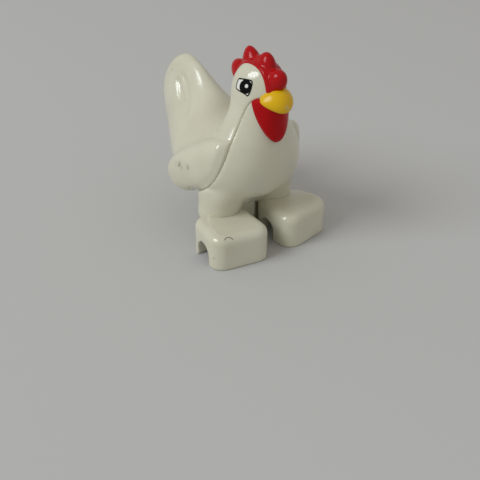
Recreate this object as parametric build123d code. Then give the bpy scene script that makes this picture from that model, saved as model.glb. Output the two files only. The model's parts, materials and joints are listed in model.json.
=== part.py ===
"""Toy hen of moulded plastic that stands, or clips onto round studs, with two hollow block feet.

Frame: +Z is up, the beak points along -Y and the hen's right side is at -X. The values below count y
from the middle of the arches; the finished pieces are moved so that the origin is on the floor
below the middle of the whole figure. Lengths are in millimetres.
"""
from build123d import *
from math import cos, pi, sin
import os

# ---- sockets and feet ----
STUD_PITCH = 16.0
SOCKET_Y = -1.0
SOCKET_RADIUS = 4.75
SOCKET_DEPTH = 6.0
SOCKET_WALL = 1.2
SOCKET_REACH = SOCKET_RADIUS + SOCKET_WALL
FOOT_WALL = 1.5
FOOT_TOP_WALL = 1.4
FOOT_TOP_RISE = 0.8
TOE_HEIGHT = SOCKET_DEPTH + FOOT_TOP_WALL
HEEL_HEIGHT = TOE_HEIGHT + FOOT_TOP_RISE
TOE_MARGIN = 1.25
TOE_Y = SOCKET_Y - SOCKET_REACH - TOE_MARGIN
TOE_OUTER_X = STUD_PITCH / 2 + SOCKET_REACH + TOE_MARGIN
TOE_SPLAY = 2.6
HEEL_MARGIN = 0.05
HEEL_Y = SOCKET_Y + SOCKET_REACH + HEEL_MARGIN
HEEL_OUTER_MARGIN = 0.15
HEEL_OUTER_X = STUD_PITCH / 2 + SOCKET_REACH + HEEL_OUTER_MARGIN
FOOT_GAP = STUD_PITCH - 2 * (SOCKET_REACH + HEEL_MARGIN)
TOE_CORNER = 3.0
HEEL_CORNER = 2.8
FOOT_TOP_EDGE = 1.8
ARCH_WIDTH = 4.8
ARCH_HEIGHT = 4.3

# ---- thighs, and the block between and behind the feet ----
THIGH_INWARD = 1.1
THIGH_X = STUD_PITCH / 2 - THIGH_INWARD
THIGH_Y = 5.0
THIGH_HALF_WIDTH = 4.6
THIGH_HALF_DEPTH = 4.4
THIGH_FLARE = 0.6
THIGH_EMBED = 0.4
THIGH_BOTTOM = SOCKET_DEPTH + THIGH_EMBED
THIGH_TOP = 13.5
WEB_DEPTH = 1.2
WEB_Y = HEEL_Y - WEB_DEPTH
PROP_DEPTH = 5.0
PROP_HALF_WIDTH = 6.5
PROP_CORNER = 1.5
PROP_WALL = 1.5
PROP_POCKET = 6.0
PROP_TOP = 10.5

# ---- body: one ellipse per station, from the crown down the breast and out to the tail ----
# (y, z) on the back, (y, z) on the breast or belly, half width, and how much the front narrows
STATIONS = [
    ((1.2, 40.2), (-1.2, 40.2), 0.8, 0.0),
    ((3.6, 39.2), (-3.8, 39.0), 3.0, 0.1),
    ((5.2, 36.8), (-5.4, 36.2), 4.6, 0.25),
    ((5.9, 33.4), (-5.6, 32.6), 5.2, 0.2),
    ((5.9, 30.6), (-5.0, 28.6), 6.0, 0.1),
    ((6.6, 28.2), (-5.2, 24.4), 7.8, 0.0),
    ((7.8, 26.4), (-5.4, 19.2), 9.6, -0.1),
    ((9.4, 25.6), (-3.9, 13.4), 10.8, -0.1),
    ((11.2, 25.8), (2.2, 9.9), 11.5, -0.2),
    ((13.0, 27.0), (12.0, 9.4), 11.0, -0.35),
    ((15.5, 29.2), (20.8, 10.8), 9.0, -0.4),
    ((18.3, 31.2), (27.0, 14.0), 6.5, -0.4),
    ((21.2, 33.0), (31.2, 18.6), 4.6, -0.35),
    ((24.2, 34.2), (34.6, 23.8), 3.4, -0.25),
    ((27.6, 34.3), (33.5, 29.2), 2.4, -0.1),
    ((30.2, 33.2), (31.4, 32.0), 0.8, 0.0),
]
BREAST_WALL = 2.0
BACK_WALL = 1.2
LEAST_RADIUS = 0.3

# ---- wings ----
WING_CENTRE = (8.8, 7.6, 17.2)
WING_RADII = (3.2, 13.0, 5.0)
WING_TILT = -24.0
WING_SPLAY = 7.0

# ---- parting line between the breast moulding and the back moulding, as y, z from the throat ----
PARTING = [(-9.0, 35.4), (-3.7, 34.2), (-1.6, 32.2), (-0.7, 28.2), (-0.8, 22.8), (0.7, 17.8),
           (4.2, 14.0), (9.4, 11.5), (17.0, 10.6), (26.0, 8.0)]
HALF_SPAN = 30.0

# ---- press pegs that join the two mouldings ----
PEG_X = 5.0
PEG_Y = 8.0
PEG_RADIUS = 1.5
PEG_TOP = 19.0
PEG_CLEARANCE = 0.05
BOSS_WALL = 1.1
BOSS_BOTTOM = 15.0

# ---- comb ----
COMB_HALF_WIDTH = 2.3
COMB_RISE = 0.5
COMB_SEAT = [(10.5, 34.4), (3.4, 37.6), (-2.6, 37.2), (-4.0, 35.2), (-9.0, 35.2), (-9.0, 44.0), (10.5, 44.0)]
# centre y, z, radius along the head, radius outward, tilt of each lobe
COMB_LOBES = [(6.6, 36.6, 1.7, 2.4, -60.0), (3.3, 39.3, 1.7, 2.6, -20.0),
              (-1.7, 39.8, 1.7, 2.4, 5.0), (-5.2, 37.9, 1.6, 2.2, 50.0)]
LOBE_HALF_WIDTH = 1.5

# ---- beak, wattle and eyes ----
BEAK_CENTRE = (0.0, -5.2, 33.9)
BEAK_RADII = (3.6, 3.1, 2.1)
BEAK_TILT = 14.0
WATTLE_THICKNESS = 0.9
WATTLE_HALF_WIDTH = 4.2
WATTLE_TOP = 33.4
WATTLE_TIP = 25.6
EYE_CENTRE = (-0.7, 35.8)
EYE_WIDTH = 3.2
EYE_HEIGHT = 3.4
EYE_CORNER = 1.2
EYE_TILT = 20.0
EYE_THICKNESS = 0.25


def section(back, breast, half_width, narrowing, inset):
    """One closed section of the body: two splines that meet on the mid-plane."""
    back_point = Vector(0, *back)
    breast_point = Vector(0, *breast)
    centre = (back_point + breast_point) * 0.5
    forward = (breast_point - back_point).normalized()
    depth = max((breast_point - back_point).length / 2 - inset, LEAST_RADIUS)
    width = max(half_width - inset, LEAST_RADIUS)

    def point(angle):
        across = width * sin(angle) * (1 - narrowing * cos(angle))
        return centre + forward * (depth * cos(angle)) + Vector(across, 0, 0)

    sideways = Vector(1, 0, 0)
    left = [point(pi * step / 8) for step in range(9)]
    right = [point(pi + pi * step / 8) for step in range(9)]
    return Wire([
        Edge.make_spline(left, tangents=(sideways, -sideways)),
        Edge.make_spline(right, tangents=(-sideways, sideways)),
    ])


def body_form(inset):
    """Head, torso and tail as one smooth loft, moved inward by the inset."""
    return Solid.make_loft([section(*station, inset) for station in STATIONS])


def ellipsoid(centre, radii, tilt=0.0):
    return Pos(*centre) * Rot(tilt, 0, 0) * scale(Sphere(1), by=radii)


def side_slab(outline, low_x, high_x):
    """A flat slab with the given y, z outline, between two x values."""
    face = make_face(Polyline(*[(low_x, y, z) for y, z in outline], close=True))
    return extrude(face, high_x - low_x, dir=(1, 0, 0))


def wing_form(side, inset):
    """A long rounded pad on the flank that spreads away from the body towards its tip."""
    radii = tuple(radius - inset for radius in WING_RADII)
    place = Pos(side * WING_CENTRE[0], WING_CENTRE[1], WING_CENTRE[2])
    return place * Rot(0, 0, -side * WING_SPLAY) * ellipsoid((0, 0, 0), radii, WING_TILT)


def parting_region():
    """Everything behind and above the parting line."""
    curve = Spline(*[(-HALF_SPAN, y, z) for y, z in PARTING])
    frame = Polyline(
        (-HALF_SPAN, *PARTING[-1]),
        (-HALF_SPAN, 60, PARTING[-1][1]),
        (-HALF_SPAN, 60, 60),
        (-HALF_SPAN, PARTING[0][0], 60),
        (-HALF_SPAN, *PARTING[0]),
    )
    return extrude(make_face(curve + frame), 2 * HALF_SPAN, dir=(1, 0, 0))


def thigh(side):
    """A short leg that flares from inside the top of its foot into the belly."""
    foot_end = Pos(side * THIGH_X, THIGH_Y, THIGH_BOTTOM) * Ellipse(THIGH_HALF_WIDTH, THIGH_HALF_DEPTH)
    body_end = Pos(side * THIGH_X, THIGH_Y, THIGH_TOP) * Ellipse(
        THIGH_HALF_WIDTH + THIGH_FLARE, THIGH_HALF_DEPTH + THIGH_FLARE)
    return loft([foot_end, body_end])


def prop():
    """The block behind the feet that carries the body, with the web that shows between them."""
    upward = (Align.CENTER, Align.MIN, Align.MIN)
    web = Pos(0, WEB_Y, 0) * Box(FOOT_GAP, WEB_DEPTH, PROP_TOP, align=upward)
    block = Pos(0, HEEL_Y, 0) * Box(2 * PROP_HALF_WIDTH, PROP_DEPTH, PROP_TOP, align=upward)
    rear = block.edges().filter_by(Axis.Z).group_by(Axis.Y)[-1]
    pocket = Pos(0, HEEL_Y + PROP_WALL, 0) * Box(
        2 * (PROP_HALF_WIDTH - PROP_WALL), PROP_DEPTH - 2 * PROP_WALL, PROP_POCKET, align=upward)
    return fillet(rear, PROP_CORNER) + web - pocket


def pegs():
    return [Pos(side * PEG_X, PEG_Y, 0) * Cylinder(
        PEG_RADIUS, PEG_TOP, align=(Align.CENTER, Align.CENTER, Align.MIN)) for side in (-1, 1)]


def bosses():
    radius = PEG_RADIUS + PEG_CLEARANCE + BOSS_WALL
    return [Pos(side * PEG_X, PEG_Y, BOSS_BOTTOM) * Cylinder(
        radius, 30, align=(Align.CENTER, Align.CENTER, Align.MIN)) for side in (-1, 1)]


def peg_bores():
    radius = PEG_RADIUS + PEG_CLEARANCE
    length = PEG_TOP - BOSS_BOTTOM + PEG_CLEARANCE
    return [Pos(side * PEG_X, PEG_Y, BOSS_BOTTOM) * Cylinder(
        radius, length, align=(Align.CENTER, Align.CENTER, Align.MIN)) for side in (-1, 1)]


def breast_shell(outer, behind):
    hollow = body_form(BREAST_WALL)
    mid_wall = body_form(BREAST_WALL / 2)
    legs = (thigh(-1) + thigh(1) + prop()) - hollow - behind
    posts = [peg & mid_wall for peg in pegs()]
    shell = (outer - hollow - behind) + legs - [foot_block(side) for side in (-1, 1)]
    return shell + posts


def back_shell(outer, behind):
    wings = [wing_form(side, 0) for side in (-1, 1)]
    hollow = body_form(BACK_WALL) + [wing_form(side, BACK_WALL) for side in (-1, 1)]
    shell = (outer + wings) - hollow
    mid_wall = body_form(BACK_WALL / 2)
    shell = shell & behind
    return (shell + [boss & mid_wall for boss in bosses()]) - peg_bores()


def foot_plan(side):
    inner_x = FOOT_GAP / 2
    corners = [(inner_x, TOE_Y), (TOE_OUTER_X, TOE_Y + TOE_SPLAY), (HEEL_OUTER_X, HEEL_Y), (inner_x, HEEL_Y)]
    return make_face(Polyline(*[(side * x, y) for x, y in corners], close=True))


def foot_block(side):
    """The outside of a foot: a rounded block whose top slopes down to the toe."""
    slope = (HEEL_HEIGHT - TOE_HEIGHT) / (HEEL_Y - TOE_Y)
    reach = 10.0
    above = side_slab(
        [(HEEL_Y + reach, HEEL_HEIGHT + slope * reach), (TOE_Y - reach, TOE_HEIGHT - slope * reach),
         (TOE_Y - reach, 3 * HEEL_HEIGHT), (HEEL_Y + reach, 3 * HEEL_HEIGHT)], -HALF_SPAN, HALF_SPAN)
    block = extrude(foot_plan(side), 2 * HEEL_HEIGHT, dir=(0, 0, 1)) - above
    upright = [edge for edge in block.edges() if edge.bounding_box().size.Z > TOE_HEIGHT - 1]
    heel = max(upright, key=lambda edge: edge.center().Y + side * edge.center().X)
    block = fillet([edge for edge in upright if edge is not heel], TOE_CORNER)
    heel = max(block.edges().filter_by(Axis.Z), key=lambda edge: edge.center().Y + side * edge.center().X)
    block = fillet(heel, HEEL_CORNER)
    return fillet(block.faces().sort_by(Axis.Z)[-1].edges(), FOOT_TOP_EDGE)


def foot(side):
    """A hollow block with a tube for the stud and an arch through both side walls."""
    block = foot_block(side)
    upward = (Align.CENTER, Align.CENTER, Align.MIN)
    socket_centre = (side * STUD_PITCH / 2, SOCKET_Y, 0)
    inside = offset(foot_plan(side), -FOOT_WALL, kind=Kind.INTERSECTION)
    cavity = extrude(inside, SOCKET_DEPTH, dir=(0, 0, 1))
    tube = Pos(*socket_centre) * Cylinder(SOCKET_RADIUS + SOCKET_WALL, SOCKET_DEPTH, align=upward)
    bore = Pos(*socket_centre) * Cylinder(SOCKET_RADIUS, SOCKET_DEPTH, align=upward)
    arch_radius = ARCH_WIDTH / 2
    arch = Pos(0, 0, ARCH_HEIGHT - arch_radius) * Rot(0, 90, 0) * Cylinder(arch_radius, 2 * HALF_SPAN)
    arch += Box(2 * HALF_SPAN, ARCH_WIDTH, ARCH_HEIGHT - arch_radius, align=upward)
    return (block - cavity) + (tube & block) - bore - arch


def beak(outer):
    return ellipsoid(BEAK_CENTRE, BEAK_RADII, BEAK_TILT) - outer


def comb(outer, beak_solid):
    hood = body_form(-COMB_RISE) & side_slab(COMB_SEAT, -COMB_HALF_WIDTH, COMB_HALF_WIDTH)
    for y, z, along, outward, tilt in COMB_LOBES:
        hood += ellipsoid((0, y, z), (LOBE_HALF_WIDTH, along, outward), tilt)
    return hood - outer - beak_solid


def wattle(outer, beak_solid):
    """A shield-shaped pad that follows the throat below the beak."""
    shoulder = (WATTLE_HALF_WIDTH, WATTLE_TOP)
    lower = (WATTLE_HALF_WIDTH * 0.78, WATTLE_TIP + 4.0)
    tip = (0, WATTLE_TIP)
    right_side = Spline((-shoulder[0], -20, shoulder[1]), (-lower[0], -20, lower[1]), (tip[0], -20, tip[1]),
                        (lower[0], -20, lower[1]), (shoulder[0], -20, shoulder[1]))
    top = Line((shoulder[0], -20, shoulder[1]), (-shoulder[0], -20, shoulder[1]))
    shield = extrude(make_face(right_side + top), 20, dir=(0, 1, 0))
    return (body_form(-WATTLE_THICKNESS) & shield) - outer - beak_solid


def eye(side, outer, comb_solid):
    outline = RectangleRounded(EYE_WIDTH, EYE_HEIGHT, EYE_CORNER)
    plane = Plane(origin=(side * 10, *EYE_CENTRE), x_dir=(0, 1, 0), z_dir=(1, 0, 0))
    plate = extrude(plane * Rot(0, 0, -EYE_TILT) * outline, 9, dir=(-side, 0, 0))
    return (body_form(-EYE_THICKNESS) & plate) - outer - comb_solid


def hen():
    outer = body_form(0)
    behind = parting_region()
    beak_solid = beak(outer)
    comb_solid = comb(outer, beak_solid)
    return {
        "breast_shell": breast_shell(outer, behind),
        "back_shell": back_shell(outer, behind),
        "right_foot": foot(-1),
        "left_foot": foot(1),
        "comb": comb_solid,
        "beak": beak_solid,
        "wattle": wattle(outer, beak_solid),
        "right_eye": eye(-1, outer, comb_solid),
        "left_eye": eye(1, outer, comb_solid),
    }


os.makedirs("parts", exist_ok=True)
pieces = hen()
front = pieces["beak"].bounding_box().min.Y
rear = pieces["back_shell"].bounding_box().max.Y
to_origin = Pos(0, -(front + rear) / 2, 0)
for name, shape in pieces.items():
    export_step(to_origin * shape, f"parts/{name}.step")
print(f"moved back by {(front + rear) / 2:.4f} mm")
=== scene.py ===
import json
from math import radians

import bmesh
import bpy
import numpy as np
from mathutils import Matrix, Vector


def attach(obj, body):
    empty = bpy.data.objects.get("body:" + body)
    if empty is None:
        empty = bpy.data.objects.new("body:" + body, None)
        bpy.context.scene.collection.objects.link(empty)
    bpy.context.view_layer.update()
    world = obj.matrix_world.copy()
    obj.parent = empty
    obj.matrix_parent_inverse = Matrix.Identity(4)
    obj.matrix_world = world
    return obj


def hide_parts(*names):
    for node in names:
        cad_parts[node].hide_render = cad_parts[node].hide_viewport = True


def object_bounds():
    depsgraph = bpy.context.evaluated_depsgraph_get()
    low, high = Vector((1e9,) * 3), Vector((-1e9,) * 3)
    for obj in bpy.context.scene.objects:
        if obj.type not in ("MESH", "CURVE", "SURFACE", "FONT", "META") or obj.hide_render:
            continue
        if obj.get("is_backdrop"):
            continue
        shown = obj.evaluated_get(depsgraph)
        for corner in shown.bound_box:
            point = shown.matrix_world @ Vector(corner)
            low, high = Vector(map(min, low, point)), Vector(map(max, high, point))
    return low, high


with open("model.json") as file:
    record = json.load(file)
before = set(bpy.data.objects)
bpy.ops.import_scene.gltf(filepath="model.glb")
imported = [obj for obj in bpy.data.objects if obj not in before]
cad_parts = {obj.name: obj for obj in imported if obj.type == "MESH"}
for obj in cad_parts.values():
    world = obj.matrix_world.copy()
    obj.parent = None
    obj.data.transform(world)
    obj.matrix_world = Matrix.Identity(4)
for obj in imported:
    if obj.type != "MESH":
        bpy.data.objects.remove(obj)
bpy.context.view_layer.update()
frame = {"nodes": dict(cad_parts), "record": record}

bl_info = {
    "name": "Moulded toy hen",
    "version": (1, 0, 0),
    "blender": (4, 5, 0),
    "location": "3D Viewport > Sidebar > Hen",
    "description": "Builds a moulded plastic toy hen round its CAD frame, and a plain stage",
    "category": "Object",
}

MM = 0.001

# The record gives the sockets' middle. Sizes below count y, in millimetres, from 1 mm behind it.
SOCKETS = [m for m in frame["record"]["mounts"] if m["name"].endswith("_socket")]
ARCH_Y = 1000 * SOCKETS[0]["pos_m"][1] + 1.0

# One row per body section: back y, z, breast y, z, half width, narrowing towards the breast.
SECTIONS = np.array([
    (1.2, 40.2, -1.2, 40.2, 0.8, 0.0), (3.6, 39.2, -3.8, 39.0, 3.0, 0.1),
    (5.2, 36.8, -5.4, 36.2, 4.6, 0.25), (5.9, 33.4, -5.6, 32.6, 5.2, 0.2),
    (5.9, 30.6, -5.0, 28.6, 6.0, 0.1), (6.6, 28.2, -5.2, 24.4, 7.8, 0.0),
    (7.8, 26.4, -5.4, 19.2, 9.6, -0.1), (9.4, 25.6, -3.9, 13.4, 10.8, -0.1),
    (11.2, 25.8, 2.2, 9.9, 11.5, -0.2), (13.0, 27.0, 12.0, 9.4, 11.0, -0.35),
    (15.5, 29.2, 20.8, 10.8, 9.0, -0.4), (18.3, 31.2, 27.0, 14.0, 6.5, -0.4),
    (21.2, 33.0, 31.8, 18.4, 4.6, -0.35), (24.2, 34.2, 34.6, 23.6, 3.4, -0.25),
    (27.5, 34.4, 33.0, 29.0, 2.4, -0.1), (29.9, 33.4, 31.0, 32.1, 0.8, 0.0),
])
LEAST_RADIUS = 0.3
# Corners, y and z, of the line between the back and breast mouldings.
PARTING = np.array([(-9.0, 35.4), (-3.7, 34.2), (-1.6, 32.2), (-0.7, 28.2), (-0.8, 22.8), (0.7, 17.8),
                    (4.2, 14.0), (9.4, 11.5), (17.0, 10.6), (26.0, 8.0)])

# The hollow in the tail's side: middle y, z, direction of its axis, half length, half width, depth.
FLUTE_MIDDLE = (22.0, 27.3)
FLUTE_AXIS = (0.74, 0.67)
FLUTE_HALF_LENGTH = 5.6
FLUTE_HALF_WIDTH = 2.1
FLUTE_DEPTH = 0.9
FLUTE_RIB = 0.6

# A wing pad: its middle on the left side, half its thickness, and its turns about x and z in degrees.
WING_MIDDLE = (8.9, 7.4, 17.6)
WING_HALF_THICKNESS = 3.65
WING_TILT = -30.0
WING_SPLAY = 7.0

# Middle x, y and half sizes in x, y of a thigh, at the foot and up in the belly.
THIGH_FOOT = (6.9, 5.0, 4.6, 4.4)
THIGH_BELLY = (5.6, 4.2, 5.6, 6.4)
THIGH_BOTTOM = 6.6
THIGH_TOP = 14.0
# The swelling under the belly, and two corners each of the block behind the feet and of the web in
# front of it.
LAP_MIDDLE = (0.0, 4.4, 10.7)
LAP_RADII = (6.4, 4.6, 2.5)
PROP_CORNERS = ((-6.5, 5.0, 0.0), (6.5, 10.0, 11.0))
WEB_CORNERS = ((-2.0, 3.8, 0.0), (2.0, 6.5, 11.0))

# The far foot's top sinks towards its outer rear corner by this share.
FAR_FOOT_DROP = 0.18

# Corners, y and z, of the line below which the comb's band doesn't reach. The band is cut off at its
# half width, and stands out from the head by its rise.
COMB_FOOT = np.array([(-9.0, 35.2), (-4.0, 35.2), (-2.6, 37.2), (3.4, 37.6), (10.5, 34.4)])
COMB_BAND_HALF_WIDTH = 2.3
COMB_BAND_RISE = 0.45
# Middle y, z, half length along the head, half height outward, tilt in degrees, taper towards the tip.
COMB_LOBES = [(6.4, 36.2, 2.3, 2.8, -62.0, 0.1), (2.9, 38.7, 2.5, 3.4, -20.0, 0.26),
              (-1.5, 39.2, 2.4, 2.8, 5.0, 0.2), (-4.8, 37.4, 2.15, 2.45, 50.0, 0.05)]

# The beak's middle, half width, height above and below it, reach into the head, and tilt in degrees.
BEAK_MIDDLE = (0.0, -5.35, 33.9)
BEAK_HALF_WIDTH = 3.6
BEAK_ABOVE = 2.05
BEAK_BELOW = 1.7
BEAK_ROOT = 2.6
BEAK_TILT = 26.0

# The wattle's top z, its length down the throat, and how far it stands out.
WATTLE_TOP = 34.0
WATTLE_LENGTH = 9.0
WATTLE_RISE = 1.15

# Corners, y and z, of the printed eye's outline. Below, its width in metres, the width of its black
# line, how far it lies over the skin, how thick it is, and the radii of pupil and the two light spots.
EYE_OUTLINE = np.array([(1.05, 37.2), (0.0, 37.35), (-1.75, 37.45), (-2.2, 37.1), (-2.25, 35.7),
                        (-1.95, 34.6), (-1.6, 34.15), (-1.0, 34.6), (1.2, 35.0), (1.4, 35.5), (1.25, 36.9)])
EYE_WIDTH = 0.0032
EYE_LINE = 0.26
EYE_RISE = 0.03
EYE_FILM = 0.12
PUPIL_RADIUS = 1.28
GLINT_RADIUS = 0.34
SLIVER_RADIUS = 0.17

# x, y, z, radius and strength of rubbed places.
BACK_SCUFFS = [(-12.2, 10.8, 17.2, 0.75, 1.4), (-12.0, 12.4, 16.9, 0.6, 1.1), (-12.3, 8.0, 17.9, 0.55, 0.9),
               (-3.0, 28.7, 31.0, 0.25, 0.6)]
FOOT_SCUFFS = [(-14.8, -4.4, 2.8, 0.3, 0.8), (-9.0, -6.8, 7.0, 0.3, 0.4)]
COMB_SCUFFS = [(0.0, 4.2, 41.9, 0.5, 0.8)]
BEAK_SCUFFS = [(0.0, -8.2, 33.2, 0.5, 0.8)]
# The nick in the near foot: an arc round a centre, on the side that faces the direction given.
NICK_CENTRE = (-12.1, -5.93, 6.74)
NICK_RADIUS = 0.93
NICK_SIDE = (0.3, 0.65, 0.7)

# Rings of a body moulding and points round its skin, and voxel sizes of the remeshed pieces.
BODY_RINGS = 200
BODY_COLUMNS = 140
BODY_VOXEL = 0.22
FOOT_VOXEL = 0.2
COMB_VOXEL = 0.14
# Share of the way to its neighbours' mean by which one smoothing pass moves a point, and how many
# passes the whole body, the wing's root, the back above the wing, the belly, feet and comb get.
EASE = 0.5
BODY_PASSES = 5
WING_PASSES = 12
ABOVE_WING_PASSES = 90
BELLY_PASSES = 200
FOOT_PASSES = 7
COMB_PASSES = 10
# Distances from the parting line between which the smoothing of wing and belly sets in.
SEAM_FADE = (0.8, 2.5)

# Noise scales of the plastic, and the height of the swell in its surface in metres.
CLOUD_SCALE = 90.0
SPECK_SCALE = 420.0
RARE_SCALE = 260.0
SCUFF_SCALE = 1500.0
SCRATCH_SCALE = 260.0
GLOSS_SCALE = 180.0
SWELL_SCALE = 160.0
SWELL_HEIGHT = 0.00008

# The stage, in metres: the lamp's place from the hen's middle, and the colours of the two lights.
FLOOR_RADIUS = 4.0
KEY_PLACE = (-1.25, 0.2, 1.0)
KEY_SIZE = 0.85
KEY_COLOUR = (0.95, 1.0, 1.03)
DAYLIGHT_COLOUR = (1.0, 0.968, 0.925, 1)
# The point the camera looks at, in millimetres.
TARGET = (-3.65, 1.93, 0.0)


# ---- numpy surfaces ----

def cubic(knots, values, at):
    """Natural cubic spline through the values: each span is a cubic, and slope and bend are
    continuous. The bends at the knots solve a tridiagonal system, with none at the two ends."""
    gap = np.diff(knots)
    matrix = np.eye(len(knots))
    inner = np.arange(1, len(knots) - 1)
    matrix[inner, inner - 1] = gap[:-1]
    matrix[inner, inner] = 2 * (gap[:-1] + gap[1:])
    matrix[inner, inner + 1] = gap[1:]
    slope = np.diff(values, axis=0) / gap[:, None]
    right = np.zeros_like(values)
    right[1:-1] = 6 * (slope[1:] - slope[:-1])
    bend = np.linalg.solve(matrix, right)
    at = np.asarray(at, float)
    span = np.clip(np.searchsorted(knots, at) - 1, 0, len(knots) - 2)
    a = ((knots[span + 1] - at) / gap[span])[..., None]
    b = 1 - a
    curve = (a ** 3 - a) * bend[span] + (b ** 3 - b) * bend[span + 1]
    return a * values[span] + b * values[span + 1] + curve * (gap[span] ** 2 / 6)[..., None]


# Each section's place s along the body: the longer of its steps on the back and on the breast, added up.
BACK_STEPS, BREAST_STEPS = [np.hypot(*np.diff(SECTIONS[:, k:k + 2], axis=0).T) for k in (0, 2)]
STATION = np.concatenate([[0.0], np.cumsum(np.maximum(BACK_STEPS, BREAST_STEPS))])
BODY_LENGTH = STATION[-1]


def body_frame(s):
    """Middle, unit direction towards the breast and half depth of the section at s, with its half
    width and narrowing."""
    row = cubic(STATION, SECTIONS, np.clip(s, 0, BODY_LENGTH))
    back, breast = row[..., 0:2], row[..., 2:4]
    half = (breast - back) / 2
    depth = np.linalg.norm(half, axis=-1)
    return (back + breast) / 2, half / depth[..., None], depth, row[..., 4], row[..., 5]


def body_point(s, t, inset=0.0):
    """Body surface. Section s is an ellipse-like ring: x = width * sin t * (1 - narrowing * cos t),
    and in the mid-plane the middle plus depth * cos t towards the breast. Inset shrinks both."""
    middle, forward, depth, width, narrowing = body_frame(s)
    x = np.maximum(width - inset, LEAST_RADIUS) * np.sin(t) * (1 - narrowing * np.cos(t))
    reach = np.maximum(depth - inset, LEAST_RADIUS) * np.cos(t)
    yz = middle + forward * reach[..., None]
    return np.stack([x, yz[..., 0], yz[..., 1]], axis=-1)


def section_of(y, z):
    """The section s whose mid-line passes through (y, z), by bisection on which side of the line the
    point lies, and the cosine of the ring angle there."""
    low, high = np.zeros_like(y), np.full_like(y, BODY_LENGTH)
    for _ in range(40):
        s = (low + high) / 2
        middle, forward, depth, _, _ = body_frame(s)
        side = (y - middle[..., 0]) * forward[..., 1] - (z - middle[..., 1]) * forward[..., 0]
        ahead = side < 0
        low, high = np.where(ahead, s, low), np.where(ahead, high, s)
    cosine = ((y - middle[..., 0]) * forward[..., 0] + (z - middle[..., 1]) * forward[..., 1]) / depth
    return s, cosine


def ring_faces(rows, columns):
    """Quads of a closed tube of that many rings and points round."""
    i = np.arange(rows - 1)[:, None] * columns
    j = np.arange(columns)[None, :]
    k = (j + 1) % columns
    return np.stack([i + j, i + k, i + columns + k, i + columns + j], axis=-1).reshape(-1, 4)


def tube(rings):
    """Closed solid from rings (rows, columns, 3): each end ring is drawn in to its middle."""
    ends = [np.repeat(rings[k].mean(axis=0)[None, None], rings.shape[1], axis=1) for k in (0, -1)]
    rings = np.concatenate([ends[0], rings, ends[1]])
    return rings.reshape(-1, 3), ring_faces(rings.shape[0], rings.shape[1])


def domed(rings, first, last):
    """Rounds both ends of a tube: ring k beyond an end is that end ring shrunk by the cosine of its
    angle and moved outward along the tube by the height times the sine."""
    angle = np.linspace(0, np.pi / 2, 7)[1:, None, None]

    def cap(ring, neighbour, height):
        middle = ring.mean(axis=0)
        outward = middle - neighbour.mean(axis=0)
        outward /= np.linalg.norm(outward)
        return middle + (ring - middle) * np.cos(angle) + outward * height * np.sin(angle)

    return np.concatenate([cap(rings[0], rings[1], first)[::-1], rings, cap(rings[-1], rings[-2], last)])


def turn_x(points, degrees):
    """Points turned about the x axis through the origin."""
    c, s = np.cos(radians(degrees)), np.sin(radians(degrees))
    return points @ np.array([(1, 0, 0), (0, c, s), (0, -s, c)])


def turn_z(points, degrees):
    """Points turned about the z axis through the origin."""
    c, s = np.cos(radians(degrees)), np.sin(radians(degrees))
    return points @ np.array([(c, s, 0), (-s, c, 0), (0, 0, 1)])


def soft(value, power):
    """The value's size to that power, with its sign."""
    return np.sign(value) * np.abs(value) ** power


def ellipsoid(radii, rows=40, columns=64, power=1.0, fullness=1.0):
    """Rings of a superellipsoid from pole to pole along y: y follows the cosine of the polar angle,
    and x, z its sine times the cosine and sine of the turn. The powers below 1 make it fuller."""
    polar = np.linspace(0, np.pi, rows)[:, None]
    turn = np.linspace(0, 2 * np.pi, columns, endpoint=False)[None, :]
    girth = np.sin(polar) ** fullness
    x = radii[0] * girth * soft(np.cos(turn), power)
    y = radii[1] * np.cos(polar) * np.ones_like(turn)
    z = radii[2] * girth * soft(np.sin(turn), power)
    return np.stack([x, y, z], axis=-1)


def ramp_between(value, low, high):
    """Smooth step: 0 below low, 1 above high, and 3r^2 - 2r^3 of the share r between them."""
    share = np.clip((value - low) / (high - low), 0, 1)
    return share * share * (3 - 2 * share)


def seam_angle(s):
    """Ring angle at which section s meets the parting line, and 0 where the line passes it by."""
    along = np.linspace(0, len(PARTING) - 1, 600)
    line = cubic(np.arange(len(PARTING), dtype=float), PARTING, along)
    where, cosine = section_of(line[:, 0], line[:, 1])
    inside = (where > 0.01) & (where < BODY_LENGTH - 0.01)
    order = np.argsort(where[inside])
    crossing = np.interp(s, where[inside][order], cosine[inside][order], left=1.0, right=1.0)
    return np.arccos(np.clip(crossing, -1.0, 1.0))


def behind_seam(points):
    """How far each point lies behind the parting line along its section's mid-line, in millimetres."""
    s, cosine = section_of(points[..., 1], points[..., 2])
    return (np.cos(seam_angle(s)) - cosine) * body_frame(s)[2]


def held_to_seam(points, keep_behind, fade=0.0):
    """Points past the parting line are moved along their section's mid-line onto it, but those kept
    behind it may pass it behind the thighs, where it ends. With a fade, what stands out from the
    body's side sinks towards the body over that distance from the line."""
    s, cosine = section_of(points[..., 1], points[..., 2])
    middle, forward, depth, width, narrowing = body_frame(s)
    limit = np.cos(seam_angle(s))
    if keep_behind:
        limit = limit + 0.7 * ramp_between(points[..., 1], 8.5, 13.0)
        cosine = np.minimum(cosine, limit)
    else:
        cosine = np.maximum(cosine, limit)
    yz = middle + forward * (depth * cosine)[..., None]
    x = points[..., 0]
    if fade:
        inside = np.clip(cosine, -1, 1)
        skin = width * np.sqrt(1 - inside ** 2) * (1 - narrowing * inside)
        stay = 0.3 + 0.7 * ramp_between((limit - cosine) * depth, 0, fade)
        x = np.sign(x) * np.where(np.abs(x) > skin, skin + (np.abs(x) - skin) * stay, np.abs(x))
    return np.stack([x, yz[..., 0], yz[..., 1]], axis=-1)


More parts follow.
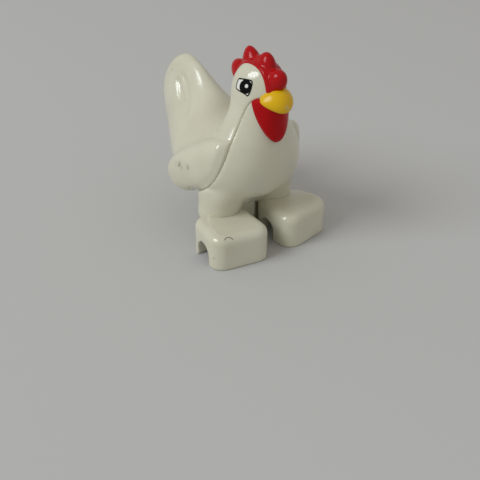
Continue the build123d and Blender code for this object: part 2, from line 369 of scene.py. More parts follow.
def flute(y, z):
    """Depth of the spoon-shaped hollow in the tail's side: a flat-bottomed oval of the distances
    along and across its axis, each to the power 2.8, with a low rib up its middle."""
    y, z = y - FLUTE_MIDDLE[0], z - FLUTE_MIDDLE[1]
    along = y * FLUTE_AXIS[0] + z * FLUTE_AXIS[1]
    across = -y * FLUTE_AXIS[1] + z * FLUTE_AXIS[0] + 0.2
    oval = np.abs(along / FLUTE_HALF_LENGTH) ** 2.8 + np.abs(across / FLUTE_HALF_WIDTH) ** 2.8
    dish = ramp_between(1.15 - oval, 0.0, 0.95)
    rib = FLUTE_RIB * np.exp(-(across / 0.55) ** 2) * ramp_between(along, -3.0, 0.0)
    return FLUTE_DEPTH * dish * (1 - rib)


def patch(rows, arc, from_seam):
    """Closed solid of one moulding: rings that follow the body's skin on one side of the parting
    line and close straight across inside."""
    s = np.linspace(0, BODY_LENGTH, rows)[:, None]
    seam = seam_angle(s)
    share = np.linspace(0, 1, arc)[None, :]
    start, end = (seam, 2 * np.pi - seam) if from_seam else (-seam, seam)
    turn = start + (end - start) * share
    skin = body_point(s + 0 * share, turn)
    skin[..., 0] -= np.sign(skin[..., 0]) * flute(skin[..., 1], skin[..., 2]) * np.abs(np.sin(turn))
    across = np.linspace(0, 1, 26)[1:-1][None, :, None]
    inside = skin[:, -1:] * (1 - across) + skin[:, :1] * across
    return np.concatenate([skin, inside], axis=1), seam[:, 0]


def pillar(low, high, z_low, z_high, side, rows=30, columns=72):
    """Upright oval solid: middle x, y and the two half sizes go from the low four to the high four
    as the height's share to the power 1.8, like a trumpet. The side is 1 or -1, for left or right."""
    share = np.linspace(0, 1, rows)[:, None]
    turn = np.linspace(0, 2 * np.pi, columns, endpoint=False)[None, :]
    x, y, half_x, half_y = [a + (b - a) * share ** 1.8 for a, b in zip(low, high)]
    x = side * x + half_x * np.cos(turn)
    y = y + half_y * np.sin(turn)
    return np.stack([x, y, z_low + (z_high - z_low) * share + 0 * x], axis=-1)


def rounded_box(low, high, power=0.16, rows=40, columns=120):
    """Block with soft edges: a superellipsoid between two corners."""
    low, high = np.array(low), np.array(high)
    polar = np.linspace(0, np.pi, rows)[:, None]
    turn = np.linspace(0, 2 * np.pi, columns, endpoint=False)[None, :]
    level = soft(np.sin(polar), power)
    ball = np.stack([level * soft(np.cos(turn), power), level * soft(np.sin(turn), power),
                     soft(np.cos(polar), power) + 0 * turn], axis=-1)
    return tube((low + high) / 2 + ball * (high - low) / 2)


def front_of_body(x, z, rounds=30):
    """The y where the front skin has that x and z: by turns the ring angle follows from x, and the
    section from z by a secant step."""
    s = np.interp(z, SECTIONS[1:9, 3][::-1], STATION[1:9][::-1])
    t = np.zeros_like(x)
    for _ in range(rounds):
        _, _, _, width, narrowing = body_frame(s)
        t = np.arcsin(np.clip(x / (width * (1 - narrowing * np.cos(t))), -0.98, 0.98))
        here, ahead = body_point(s, t)[..., 2], body_point(s + 0.05, t)[..., 2]
        fall = np.minimum((ahead - here) / 0.05, -0.2)
        s = s + 0.8 * np.clip((z - here) / fall, -1.0, 1.0)
    return body_point(s, t)[..., 1]


def closed_curve(corners, steps):
    """Closed smooth line: a quadratic spline, whose spans run between the middles of the sides and
    bend towards each corner."""
    before, after = np.roll(corners, 1, axis=0), np.roll(corners, -1, axis=0)
    start, end = (before + corners) / 2, (corners + after) / 2
    share = np.linspace(0, 1, steps, endpoint=False)[None, :, None]
    spans = start[:, None] * (1 - share) ** 2 + corners[:, None] * 2 * share * (1 - share)
    return (spans + end[:, None] * share ** 2).reshape(-1, 2)


def distance_to(line, y, z):
    """Distance from a closed line, negative inside: to the nearest point of each side, with a sign
    from how often a level ray crosses the line."""
    away, crossings = np.full(y.shape, 1e9), np.zeros(y.shape, int)
    for start, end in zip(line, np.roll(line, -1, axis=0)):
        side = end - start
        share = np.clip(((y - start[0]) * side[0] + (z - start[1]) * side[1]) / (side @ side), 0, 1)
        away = np.minimum(away, np.hypot(y - start[0] - share * side[0], z - start[1] - share * side[1]))
        spans = (z < start[1]) != (z < end[1])
        reach = start[0] + (z - start[1]) * side[0] / (side[1] if side[1] else 1.0)
        crossings += spans & (y < reach)
    return np.where(crossings % 2 == 1, -away, away)


def film(points, faces, thickness):
    """Closed thin solid: the sheet, a copy of it moved back by the thickness, and a quad between the
    two along each edge that only one face has."""
    edges = np.stack([faces, np.roll(faces, -1, axis=1)], axis=-1).reshape(-1, 2)
    _, first, count = np.unique(np.sort(edges, axis=1), axis=0, return_index=True, return_counts=True)
    rim = edges[first[count == 1]]
    behind = len(points)
    walls = np.stack([rim[:, 1], rim[:, 0], rim[:, 0] + behind, rim[:, 1] + behind], axis=-1)
    points = np.concatenate([points, points - thickness])
    return points, np.concatenate([faces, faces[:, ::-1] + behind, walls])


# ---- meshes ----

def make_mesh(name, points, faces):
    """A smooth-shaded mesh from whole arrays of points and quads."""
    mesh = bpy.data.meshes.new(name)
    mesh.from_pydata(points.reshape(-1, 3), [], faces.tolist())
    mesh.validate()
    mesh.shade_smooth()
    return mesh


def fused(shapes, voxel):
    """Points and quads of one skin round several closed shapes, all in millimetres, from a voxel remesh."""
    start, points, faces = 0, [], []
    for shape_points, shape_faces in shapes:
        points.append(shape_points)
        faces.append(shape_faces + start)
        start += len(shape_points)
    mesh = make_mesh("shapes", np.concatenate(points), np.concatenate(faces))
    shell = bpy.data.objects.new("shapes", mesh)
    bpy.context.scene.collection.objects.link(shell)
    remesh = shell.modifiers.new("Remesh", "REMESH")
    remesh.mode = "VOXEL"
    remesh.voxel_size = voxel
    done = bpy.data.meshes.new_from_object(shell.evaluated_get(bpy.context.evaluated_depsgraph_get()))
    co = np.empty(3 * len(done.vertices))
    done.vertices.foreach_get("co", co)
    quads = np.empty(len(done.loops), int)
    done.loops.foreach_get("vertex_index", quads)
    bpy.data.objects.remove(shell)
    for used in (mesh, done):
        bpy.data.meshes.remove(used)
    return co.reshape(-1, 3), quads.reshape(-1, 4)


def smoothed(points, faces, passes, weight):
    """Each pass moves every point by its weight towards the mean of its neighbours."""
    start, end = np.concatenate([faces[:, (k, (k + 1) % 4)] for k in range(4)]).T
    count = np.bincount(start, minlength=len(points))[:, None]
    weight = np.broadcast_to(weight, len(points))[:, None]
    for _ in range(passes):
        total = np.stack([np.bincount(start, points[end, axis], len(points)) for axis in range(3)], axis=1)
        points = points + weight * (total / count - points)
    return points


def close_poles(mesh):
    """Merges the points that lie on each other at a tube's ends, and turns the faces outwards."""
    work = bmesh.new()
    work.from_mesh(mesh)
    bmesh.ops.remove_doubles(work, verts=work.verts, dist=1e-8)
    bmesh.ops.recalc_face_normals(work, faces=work.faces)
    work.to_mesh(mesh)
    work.free()


def add_piece(name, points, faces, nodes, material, is_tube=False):
    """Puts a finished piece into the scene, in metres in the CAD frame, riding on the one body."""
    placed = (points + np.array([0, ARCH_Y, 0])) * MM
    mesh = make_mesh(name, placed, faces)
    if is_tube:
        close_poles(mesh)
    piece = bpy.data.objects.new(name, mesh)
    bpy.context.scene.collection.objects.link(piece)
    piece.data.materials.append(material)
    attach(piece, "root")
    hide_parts(*nodes)
    return piece


# ---- finishes ----

class Nodes:
    """A short way to write a material's node tree."""

    def __init__(self, name):
        self.material = bpy.data.materials.new(name)
        self.material.use_nodes = True
        self.tree = self.material.node_tree
        self.shader = self.tree.nodes["Principled BSDF"]
        coordinates = self.tree.nodes.new("ShaderNodeTexCoord")
        self.place = coordinates.outputs["Object"]

    def add(self, kind, inputs=(), **settings):
        node = self.tree.nodes.new(kind)
        for key, value in settings.items():
            setattr(node, key, value)
        for key, value in dict(inputs).items():
            self.put(node.inputs[key], value)
        return node

    def put(self, socket, value):
        if isinstance(value, bpy.types.NodeSocket):
            self.tree.links.new(value, socket)
        else:
            socket.default_value = value

    def noise(self, scale, detail=3.0, rough=0.55, vector=None):
        return self.add("ShaderNodeTexNoise", {"Vector": vector or self.place, "Scale": scale,
                                               "Detail": detail, "Roughness": rough}).outputs["Fac"]

    def ramp(self, value, low, high, start=0.0, end=1.0):
        return self.add("ShaderNodeMapRange", {"Value": value, "From Min": low, "From Max": high,
                                               "To Min": start, "To Max": end}).outputs["Result"]

    def math(self, operation, a, b=0.0, clamp=False):
        return self.add("ShaderNodeMath", {0: a, 1: b}, operation=operation, use_clamp=clamp).outputs[0]

    def mix(self, factor, a, b):
        node = self.add("ShaderNodeMix", data_type="RGBA")
        self.put(node.inputs[0], factor)
        self.put(node.inputs[6], a)
        self.put(node.inputs[7], b)
        return node.outputs[2]

    def bump(self, height, distance):
        node = self.add("ShaderNodeBump", {"Height": height, "Distance": distance, "Strength": 1.0})
        self.put(self.shader.inputs["Normal"], node.outputs["Normal"])


def gloss_plastic(name, colour, aged, worn, roughness, sheen=0.75):
    """Moulded gloss plastic: a faint cloudy shift towards the aged colour, rare tiny specks, fine
    scratches in the gloss, a slight swell in the surface, and rubbed places from the wear attribute."""
    n = Nodes(name)
    cloud = n.ramp(n.noise(CLOUD_SCALE, 4.0), 0.35, 0.7)
    base = n.mix(cloud, colour, aged)
    speck = n.add("ShaderNodeTexVoronoi", {"Vector": n.place, "Scale": SPECK_SCALE})
    spot = n.ramp(speck.outputs["Distance"], 0.06, 0.1, 1.0, 0.0)
    rare = n.ramp(n.noise(RARE_SCALE, 1.0), 0.66, 0.7)
    base = n.mix(n.math("MULTIPLY", n.math("MULTIPLY", spot, rare), 0.35), base, (0.06, 0.05, 0.04, 1))
    rubbed = n.add("ShaderNodeAttribute", attribute_name="wear").outputs["Fac"]
    broken = n.math("MULTIPLY", rubbed, n.ramp(n.noise(SCUFF_SCALE, 3.0, 0.7), 0.42, 0.6), clamp=True)
    n.put(n.shader.inputs["Base Color"], n.mix(broken, base, worn))
    stretch = n.add("ShaderNodeMapping", {"Vector": n.place, "Rotation": (0.5, 0.3, 0.9),
                                          "Scale": (1.0, 14.0, 3.0)})
    scratch = n.ramp(n.noise(SCRATCH_SCALE, 2.0, 0.5, stretch.outputs["Vector"]), 0.62, 0.72)
    rough = n.ramp(n.noise(GLOSS_SCALE), 0.3, 0.7, roughness - 0.03, roughness + 0.05)
    rough = n.math("ADD", rough, n.math("MULTIPLY", scratch, 0.06))
    n.put(n.shader.inputs["Roughness"], n.math("ADD", rough, n.math("MULTIPLY", broken, 0.2)))
    n.shader.inputs["IOR"].default_value = 1.5
    n.shader.inputs["Specular IOR Level"].default_value = sheen
    n.bump(n.math("ADD", n.noise(SWELL_SCALE, 1.0), n.math("MULTIPLY", scratch, -0.06)), SWELL_HEIGHT)
    return n


def crescent(n, centre, radius, towards):
    """A curved nick: darker where the distance from the centre is the radius, on the side of the
    centre that faces the direction given."""
    away = n.add("ShaderNodeVectorMath", {0: n.place, 1: tuple(MM * np.array(centre))}, operation="SUBTRACT")
    size = n.add("ShaderNodeVectorMath", {0: away.outputs[0]}, operation="LENGTH").outputs["Value"]
    line = n.ramp(n.math("ABSOLUTE", n.math("SUBTRACT", size, radius * MM)), 0.00006, 0.00016, 1.0, 0.0)
    facing = n.add("ShaderNodeVectorMath", {0: away.outputs[0], 1: towards}, operation="DOT_PRODUCT")
    mark = n.math("MULTIPLY", line, n.ramp(facing.outputs["Value"], 0.2 * radius * MM, 0.5 * radius * MM))
    colour = n.shader.inputs["Base Color"].links[0].from_socket
    n.put(n.shader.inputs["Base Color"], n.mix(n.math("MULTIPLY", mark, 0.8), colour, (0.10, 0.09, 0.08, 1)))


def white_plastic(name, colours):
    """Off-white gloss plastic, into which light spreads a little way."""
    n = gloss_plastic(name, rgba(colours.white), rgba(colours.aged), rgba(colours.dirt), 0.12)
    n.shader.inputs["Subsurface Weight"].default_value = 0.12
    n.shader.inputs["Subsurface Radius"].default_value = (1.0, 0.8, 0.5)
    n.shader.inputs["Subsurface Scale"].default_value = 0.0008
    return n


def red_plastic(name, colours, worn, roughness, sheen):
    """Deep red gloss plastic, with no aged tint."""
    return gloss_plastic(name, rgba(colours.red), rgba(colours.red), worn, roughness, sheen)


def places_of(piece):
    """The piece's points in millimetres from the arches."""
    co = np.empty(3 * len(piece.data.vertices))
    piece.data.vertices.foreach_get("co", co)
    return co.reshape(-1, 3) / MM - np.array([0, ARCH_Y, 0])


def set_value(piece, name, values):
    """One number per vertex, kept with the mesh for its material."""
    piece.data.attributes.new(name, "FLOAT", "POINT").data.foreach_set("value", values.astype(np.float32))


def set_wear(piece, spots):
    """Wear at each point: the largest of round patches that fade as exp(-(distance / radius)^2)."""
    points = places_of(piece)
    wear = np.zeros(len(points))
    for x, y, z, radius, amount in spots:
        away = np.linalg.norm(points - np.array([x, y, z]), axis=1)
        wear = np.maximum(wear, amount * np.exp(-(away / radius) ** 2))
    set_value(piece, "wear", wear)


def colour_property(name, description, default):
    return bpy.props.FloatVectorProperty(name=name, description=description, default=default, size=3,
                                         min=0.0, max=1.0, subtype="COLOR")


def rgba(colour):
    return (*colour, 1.0)


# ---- settings ----

class HenSizes(bpy.types.PropertyGroup):
    wing_length: bpy.props.FloatProperty(
        name="Wing half length", description="From the middle of a wing pad to its tip",
        default=0.0124, unit="LENGTH")
    wing_height: bpy.props.FloatProperty(
        name="Wing half height", description="From the middle of a wing pad to its upper edge",
        default=0.005, unit="LENGTH")
    lobe_width: bpy.props.FloatProperty(
        name="Comb lobe half width", description="Half thickness of the comb's lobes",
        default=0.0018, unit="LENGTH")
    beak_length: bpy.props.FloatProperty(
        name="Beak reach", description="From the middle of the beak to its tip",
        default=0.0032, unit="LENGTH")
    wattle_width: bpy.props.FloatProperty(
        name="Wattle half width", description="Half width of the throat shield at its top",
        default=0.0042, unit="LENGTH")
    eye_width: bpy.props.FloatProperty(
        name="Eye width", description="Width of the printed eye outline",
        default=EYE_WIDTH, unit="LENGTH")


class HenColours(bpy.types.PropertyGroup):
    white: colour_property("Body", "Clean off-white plastic", (0.66, 0.645, 0.52))
    aged: colour_property("Aged body", "Off-white plastic where it has yellowed", (0.60, 0.58, 0.45))
    dirt: colour_property("Scuff", "Dirt in the scuffs", (0.09, 0.08, 0.07))
    red: colour_property("Comb and wattle", "Deep red plastic", (0.42, 0.004, 0.006))
    yellow: colour_property("Beak", "Golden yellow plastic", (0.74, 0.45, 0.003))
    ink: colour_property("Eye print", "Black ink of the eye", (0.004, 0.004, 0.004))


class HenStage(bpy.types.PropertyGroup):
    azimuth: bpy.props.FloatProperty(name="Azimuth", description="Turn of the camera round the hen",
                                     default=radians(-36.0), subtype="ANGLE")
    elevation: bpy.props.FloatProperty(name="Elevation", description="Height of the camera above the horizon",
                                       default=radians(32.3), subtype="ANGLE")
    distance: bpy.props.FloatProperty(name="Distance", description="From the camera to the point it looks at",
                                      default=0.1537, unit="LENGTH")
    lens: bpy.props.FloatProperty(name="Lens", description="Focal length", default=52.5, unit="CAMERA")
    floor: colour_property("Floor", "Pale floor and backdrop", (0.53, 0.53, 0.522))
    backdrop: colour_property("Backdrop", "Pale grey seen behind the floor", (0.38, 0.385, 0.38))
    daylight: bpy.props.FloatProperty(name="Daylight", description="Strength of the even light", default=0.5,
                                      min=0.0)
    key: bpy.props.FloatProperty(name="Key lamp", description="Power of the large soft lamp", default=12.5,
                                 unit="POWER")


# ---- operators ----

class HEN_OT_back(bpy.types.Operator):
    """Adds the back moulding: head, back, tail and the two wing pads"""
    bl_idname = "hen.back"
    bl_label = "Back moulding"

    def execute(self, context):
        sizes, colours = context.scene.hen_sizes, context.scene.hen_colours
        rings, _ = patch(BODY_RINGS, BODY_COLUMNS, True)
        shapes = [tube(domed(rings, 0.5, 0.4))]
        for side in (-1, 1):
            radii = (WING_HALF_THICKNESS, sizes.wing_length / MM, sizes.wing_height / MM)
            wing = turn_x(ellipsoid(radii, power=0.8, fullness=0.75), WING_TILT)
            wing = turn_z(wing, -WING_SPLAY * side) + np.array(WING_MIDDLE) * (side, 1, 1)
            shapes.append(tube(held_to_seam(wing, True, 1.6)))
        points, faces = fused(shapes, BODY_VOXEL)
        points = smoothed(points, faces, BODY_PASSES, EASE)
        blend = ramp_between(behind_seam(points), *SEAM_FADE) * ramp_between(points[:, 2], 26.0, 23.0)
        points = smoothed(points, faces, WING_PASSES, EASE * blend)
        # the wing's upper edge runs softly into the back
        above_wing = ramp_between(points[:, 2], 19.0, 20.5) * ramp_between(-points[:, 2], -27.0, -25.0)
        above_wing *= ramp_between(np.abs(points[:, 0]), 3.5, 5.5) * ramp_between(points[:, 1], 4.0, 7.0)
        points = smoothed(points, faces, ABOVE_WING_PASSES, EASE * above_wing)
        n = white_plastic("aged_white_plastic", colours)
        piece = add_piece("back_moulding", points, faces, ["back_shell"], n.material)
        set_wear(piece, BACK_SCUFFS)
        return {"FINISHED"}


class HEN_OT_breast(bpy.types.Operator):
    """Adds the breast moulding: throat, breast, belly, thighs and the block behind the feet"""
    bl_idname = "hen.breast"
    bl_label = "Breast moulding"

    def execute(self, context):
        colours = context.scene.hen_colours
        rings, seam = patch(BODY_RINGS, BODY_COLUMNS, False)
        shapes = [tube(rings[seam > 0.02])]
        for side in (-1, 1):
            leg = pillar(THIGH_FOOT, THIGH_BELLY, THIGH_BOTTOM, THIGH_TOP, side)
            shapes.append(tube(held_to_seam(leg, False)))
        shapes.append(tube(ellipsoid(LAP_RADII, 40, 96) + np.array(LAP_MIDDLE)))
        shapes.append(rounded_box(*PROP_CORNERS))
        shapes.append(rounded_box(*WEB_CORNERS))
        points, faces = fused(shapes, BODY_VOXEL)
        points = smoothed(points, faces, BODY_PASSES, EASE)
        blend = ramp_between(points[:, 2], 8.2, 9.2) * ramp_between(-behind_seam(points), *SEAM_FADE)
        points = smoothed(points, faces, BELLY_PASSES, EASE * blend)
        n = white_plastic("aged_white_breast", colours)
        piece = add_piece("breast_moulding", points, faces, ["breast_shell"], n.material)
        set_wear(piece, [])
        return {"FINISHED"}


class HEN_OT_feet(bpy.types.Operator):
    """Gives the two hollow feet rounded moulded edges and their finish"""
    bl_idname = "hen.feet"
    bl_label = "Feet"

    def execute(self, context):
        colours = context.scene.hen_colours
        n = white_plastic("aged_white_feet", colours)
        crescent(n, np.array(NICK_CENTRE) + (0, ARCH_Y, 0), NICK_RADIUS, NICK_SIDE)
        for name in ("right_foot", "left_foot"):
            mesh = frame["nodes"][name].data
            co, corners = np.empty(3 * len(mesh.vertices)), np.empty(len(mesh.loops), int)
            mesh.vertices.foreach_get("co", co)
            mesh.loops.foreach_get("vertex_index", corners)
            block = co.reshape(-1, 3) / MM - np.array([0, ARCH_Y, 0])
            points, faces = fused([(block, corners.reshape(-1, 3))], FOOT_VOXEL)
            points = smoothed(points, faces, FOOT_PASSES, EASE)
            if name == "left_foot":
                corner = ramp_between(points[:, 0], 5.0, 14.0) * ramp_between(points[:, 1], -3.0, 5.0)
                points[:, 2] *= 1 - FAR_FOOT_DROP * corner
            points[:, 2] = np.maximum(points[:, 2], 0.0)
            piece = add_piece(name + "_block", points, faces, [name], n.material)
            set_wear(piece, FOOT_SCUFFS)
        return {"FINISHED"}


class HEN_OT_comb(bpy.types.Operator):
    """Adds the red comb: a band over the crown with four rounded lobes"""
    bl_idname = "hen.comb"
    bl_label = "Comb"

    def execute(self, context):
        sizes, colours = context.scene.hen_sizes, context.scene.hen_colours
        s = np.linspace(0, STATION[3], 60)[:, None]
        t = np.linspace(0, 2 * np.pi, 160, endpoint=False)[None, :]
        band = domed(body_point(s + 0 * t, t + 0 * s, -COMB_BAND_RISE), 0.8, 0.1)
        band[..., 0] = np.clip(band[..., 0], -COMB_BAND_HALF_WIDTH, COMB_BAND_HALF_WIDTH)
        floor = np.interp(band[..., 1], COMB_FOOT[:, 0], COMB_FOOT[:, 1])
        band[..., 2] = np.maximum(band[..., 2], floor)
        shapes = [tube(band)]
        for y, z, along, outward, tilt, taper in COMB_LOBES:
            lobe = ellipsoid((sizes.lobe_width / MM, along, outward))
            lobe[..., :2] *= 1 - taper * lobe[..., 2:] / outward
            shapes.append(tube(turn_x(lobe, tilt) + np.array([0, y, z])))
        points, faces = fused(shapes, COMB_VOXEL)
        points = smoothed(points, faces, COMB_PASSES, EASE)
        n = red_plastic("deep_red_comb", colours, (0.55, 0.35, 0.28, 1), 0.12, 0.22)
        piece = add_piece("comb_lobes", points, faces, ["comb"], n.material)
        set_wear(piece, COMB_SCUFFS)
        return {"FINISHED"}


class HEN_OT_beak(bpy.types.Operator):
    """Adds the yellow beak"""
    bl_idname = "hen.beak"
    bl_label = "Beak"

    def execute(self, context):
        sizes, colours = context.scene.hen_sizes, context.scene.hen_colours
        # each ring across the beak is longer ahead than behind, shrinks to a point at the mouth's two
        # corners, and is swept back there
        across = np.linspace(-1, 1, 121)[1:-1, None]
        turn = np.linspace(0, 2 * np.pi, 120, endpoint=False)[None, :]
        swell = (1 - np.abs(across) ** 2.1) ** 0.8
        root = BEAK_ROOT * (1 - across ** 2) ** 0.5
        ahead = -np.where(np.cos(turn) > 0, sizes.beak_length / MM * swell, root) * np.cos(turn)
        height = np.where(np.sin(turn) > 0, BEAK_ABOVE, BEAK_BELOW)
        up = height * swell * np.sin(turn) - 0.06 * ahead ** 2 * swell - 0.55 * across ** 2
        form = np.stack([BEAK_HALF_WIDTH * across + 0 * turn, ahead, up + 0.2], axis=-1)
        form = turn_x(form, BEAK_TILT)
        form[..., 1] += 0.45 * across ** 2
        points, faces = tube(form + np.array(BEAK_MIDDLE))
        yellow = rgba(colours.yellow)
        n = gloss_plastic("golden_yellow_beak", yellow, yellow, (0.6, 0.55, 0.4, 1), 0.2, 0.35)
        piece = add_piece("beak_cap", points, faces, ["beak"], n.material,
                          is_tube=True)
        set_wear(piece, BEAK_SCUFFS)
        return {"FINISHED"}


class HEN_OT_wattle(bpy.types.Operator):
    """Adds the red shield-shaped wattle on the throat"""
    bl_idname = "hen.wattle"
    bl_label = "Wattle"

    def execute(self, context):
        sizes, colours = context.scene.hen_sizes, context.scene.hen_colours
        down = np.sin(np.linspace(0, 1, 90)[:, None] * np.pi / 2)
        angle = np.linspace(0, 2 * np.pi, 160, endpoint=False)[None, :]
        # each ring runs once round the shield: out along the front, back inside the throat
        width = (1 - down ** 2.0) ** 0.62 * (0.86 + 0.14 * ramp_between(down, 0.0, 0.12) ** 0.5)
        side = soft(np.cos(angle), 0.5)
        x = sizes.wattle_width / MM * width * side
        z = WATTLE_TOP - WATTLE_LENGTH * down + 1.2 * (1 - side ** 2) * (1 - down) ** 2
        skin = front_of_body(x, z + 0 * x)
        rise = WATTLE_RISE * (1 - down ** 10) ** 0.5
        y = skin - rise * soft(np.sin(angle), 0.5) * np.where(np.sin(angle) > 0, 1.0, 0.6)
        points, faces = tube(np.stack([x, y, z + 0 * x], axis=-1))
        n = red_plastic("deep_red_wattle", colours, (0.5, 0.3, 0.25, 1), 0.2, 0.12)
        piece = add_piece("wattle_shield", points, faces, ["wattle"], n.material,
                          is_tube=True)
        set_wear(piece, [])
        return {"FINISHED"}


class HEN_OT_eyes(bpy.types.Operator):
    """Adds the two printed eyes, each a thin film on the side of the head"""
    bl_idname = "hen.eyes"
    bl_label = "Eyes"

    def execute(self, context):
        sizes, colours = context.scene.hen_sizes, context.scene.hen_colours
        grow = sizes.eye_width / EYE_WIDTH
        outline = closed_curve(EYE_OUTLINE, 12)
        centre = outline.mean(axis=0)
        outline = centre + (outline - centre) * grow
        for side, name in ((-1, "right"), (1, "left")):
            v = np.linspace(-2.0, 2.0, 150)
            y, z = np.meshgrid(centre[0] + v * grow, centre[1] + v * grow)
            edge = -distance_to(outline, y, z)
            where, cosine = section_of(y, z)
            top = body_point(where, np.arccos(np.clip(cosine, -1, 1)))[..., 0] + EYE_RISE
            points = np.stack([side * top, y, z], axis=-1)
            # the ink covers the outline and the pupil, but for the two light spots in it
            from_y, from_z = y - centre[0], z - centre[1]
            pupil = PUPIL_RADIUS * grow - np.hypot(from_y + 0.38, from_z * 0.95)
            glint = GLINT_RADIUS * grow - np.hypot(from_y + 0.62, from_z - 0.2)
            sliver = SLIVER_RADIUS * grow - np.hypot((from_y + 1.3) * 1.3, (from_z + 1.2) * 0.6)
            ink = np.maximum(EYE_LINE - edge, np.minimum(pupil, -np.maximum(glint, sliver)))
            rows, columns = y.shape
            i = np.arange(rows - 1)[:, None] * columns + np.arange(columns - 1)[None, :]
            faces = np.stack([i, i + 1, i + columns + 1, i + columns], axis=-1).reshape(-1, 4)
            faces = faces[(edge.ravel()[faces] > 0).all(axis=1)]
            used, faces = np.unique(faces, return_inverse=True)
            faces = faces.reshape(-1, 4)[:, ::side]
            points, faces = film(points.reshape(-1, 3)[used], faces, np.array([side * EYE_FILM, 0, 0]))
            ink = np.tile(ink.ravel()[used], 2)
            n = Nodes(name + "_eye_print")
            tone = n.add("ShaderNodeAttribute", attribute_name="ink").outputs["Fac"]
            fine = n.ramp(n.noise(2500.0), 0.3, 0.7, -0.03, 0.03)
            mask = n.ramp(n.math("ADD", tone, fine), -0.03, 0.03)
            n.put(n.shader.inputs["Base Color"], n.mix(mask, (0.78, 0.78, 0.74, 1), rgba(colours.ink)))
            n.put(n.shader.inputs["Roughness"], n.ramp(n.noise(600.0), 0.3, 0.7, 0.15, 0.25))
            n.shader.inputs["Specular IOR Level"].default_value = 0.1
            piece = add_piece(name + "_eye_print", points, faces, [name + "_eye"], n.material)
            set_value(piece, "ink", ink)
        return {"FINISHED"}


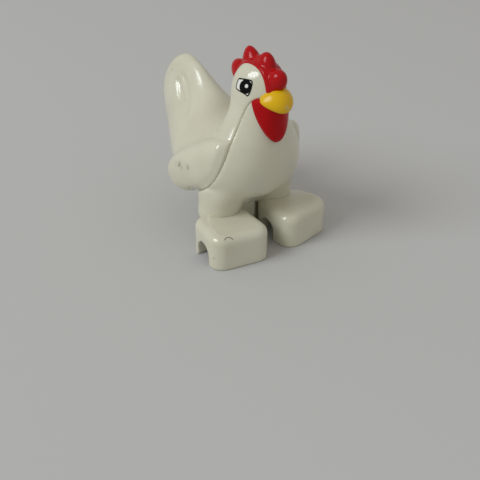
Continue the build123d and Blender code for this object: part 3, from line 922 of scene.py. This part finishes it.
class HEN_OT_stage(bpy.types.Operator):
    """Adds the floor with its backdrop, the soft lamp, the even light and the camera"""
    bl_idname = "hen.stage"
    bl_label = "Stage"

    def execute(self, context):
        scene, settings = context.scene, context.scene.hen_stage
        low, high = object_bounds()
        middle = (low + high) / 2
        # a wide disc: rings whose radius grows as the share squared, round the hen's middle
        radius = FLOOR_RADIUS * np.linspace(0, 1, 40)[:, None] ** 2
        turn = np.linspace(0, 2 * np.pi, 96, endpoint=False)[None, :]
        across, along = middle.x + radius * np.cos(turn), middle.y + radius * np.sin(turn)
        disc = np.stack([across, along, 0 * radius * turn], axis=-1)
        points, faces = disc.reshape(-1, 3), ring_faces(*disc.shape[:2])
        floor = bpy.data.objects.new("floor", make_mesh("floor", points, faces))
        scene.collection.objects.link(floor)
        n = Nodes("pale_floor")
        n.put(n.shader.inputs["Base Color"], rgba(settings.floor))
        n.shader.inputs["Roughness"].default_value = 1.0
        n.shader.inputs["Specular IOR Level"].default_value = 0.0
        floor.data.materials.append(n.material)
        floor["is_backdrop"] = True

        world = bpy.data.worlds.new("daylight")
        world.use_nodes = True
        tree = world.node_tree
        even = tree.nodes["Background"]
        even.inputs["Color"].default_value = DAYLIGHT_COLOUR
        even.inputs["Strength"].default_value = settings.daylight
        # what the camera sees directly, mirrored or through glass is the backdrop
        seen = tree.nodes.new("ShaderNodeBackground")
        seen.inputs["Color"].default_value = rgba(settings.backdrop)
        path = tree.nodes.new("ShaderNodeLightPath")
        either = tree.nodes.new("ShaderNodeMath")
        either.operation = "MAXIMUM"
        tree.links.new(path.outputs["Is Camera Ray"], either.inputs[0])
        tree.links.new(path.outputs["Is Glossy Ray"], either.inputs[1])
        any_of_three = tree.nodes.new("ShaderNodeMath")
        any_of_three.operation = "MAXIMUM"
        tree.links.new(either.outputs[0], any_of_three.inputs[0])
        tree.links.new(path.outputs["Is Transmission Ray"], any_of_three.inputs[1])
        mix = tree.nodes.new("ShaderNodeMixShader")
        tree.links.new(any_of_three.outputs[0], mix.inputs[0])
        tree.links.new(even.outputs[0], mix.inputs[1])
        tree.links.new(seen.outputs[0], mix.inputs[2])
        tree.links.new(mix.outputs[0], tree.nodes["World Output"].inputs["Surface"])
        scene.world = world

        light = bpy.data.lights.new("key", "AREA")
        light.shape = "DISK"
        light.size = KEY_SIZE
        light.energy = settings.key
        light.color = KEY_COLOUR
        lamp = bpy.data.objects.new("key", light)
        lamp.location = middle + Vector(KEY_PLACE)
        lamp.rotation_euler = (-Vector(KEY_PLACE)).to_track_quat("-Z", "Y").to_euler()
        scene.collection.objects.link(lamp)

        camera = bpy.data.objects.new("camera", bpy.data.cameras.new("camera"))
        camera.data.sensor_width = 36.0
        camera.data.lens = settings.lens
        camera.data.clip_start = 0.005
        az, el = settings.azimuth, settings.elevation
        back = Vector((np.sin(az) * np.cos(el), -np.cos(az) * np.cos(el), np.sin(el)))
        target = (Vector(TARGET) + Vector((0, ARCH_Y, 0))) * MM
        camera.location = target + back * settings.distance
        camera.rotation_euler = (-back).to_track_quat("-Z", "Y").to_euler()
        scene.collection.objects.link(camera)
        scene.camera = camera
        scene.view_settings.view_transform = "Standard"
        return {"FINISHED"}


OPERATORS = (HEN_OT_back, HEN_OT_breast, HEN_OT_feet, HEN_OT_comb, HEN_OT_beak, HEN_OT_wattle, HEN_OT_eyes,
             HEN_OT_stage)


class HEN_PT_pieces(bpy.types.Panel):
    """Lists the hen's pieces in the order in which they are made"""
    bl_idname = "HEN_PT_pieces"
    bl_label = "Toy hen"
    bl_space_type = "VIEW_3D"
    bl_region_type = "UI"
    bl_category = "Hen"

    def draw(self, context):
        for group in (context.scene.hen_sizes, context.scene.hen_colours, context.scene.hen_stage):
            box = self.layout.box()
            for key in group.__annotations__:
                box.prop(group, key)
        for operator in OPERATORS:
            self.layout.operator(operator.bl_idname)


SETTINGS = {"hen_sizes": HenSizes, "hen_colours": HenColours, "hen_stage": HenStage}


def register():
    for cls in (*SETTINGS.values(), *OPERATORS, HEN_PT_pieces):
        bpy.utils.register_class(cls)
    for key, cls in SETTINGS.items():
        setattr(bpy.types.Scene, key, bpy.props.PointerProperty(type=cls))


def unregister():
    for key in SETTINGS:
        delattr(bpy.types.Scene, key)
    for cls in reversed((*SETTINGS.values(), *OPERATORS, HEN_PT_pieces)):
        bpy.utils.unregister_class(cls)


def main():
    register()
    bpy.ops.hen.back()
    bpy.ops.hen.breast()
    bpy.ops.hen.feet()
    bpy.ops.hen.comb()
    bpy.ops.hen.beak()
    bpy.ops.hen.wattle()
    bpy.ops.hen.eyes()
    bpy.ops.hen.stage()


if __name__ == "__main__":
    main()
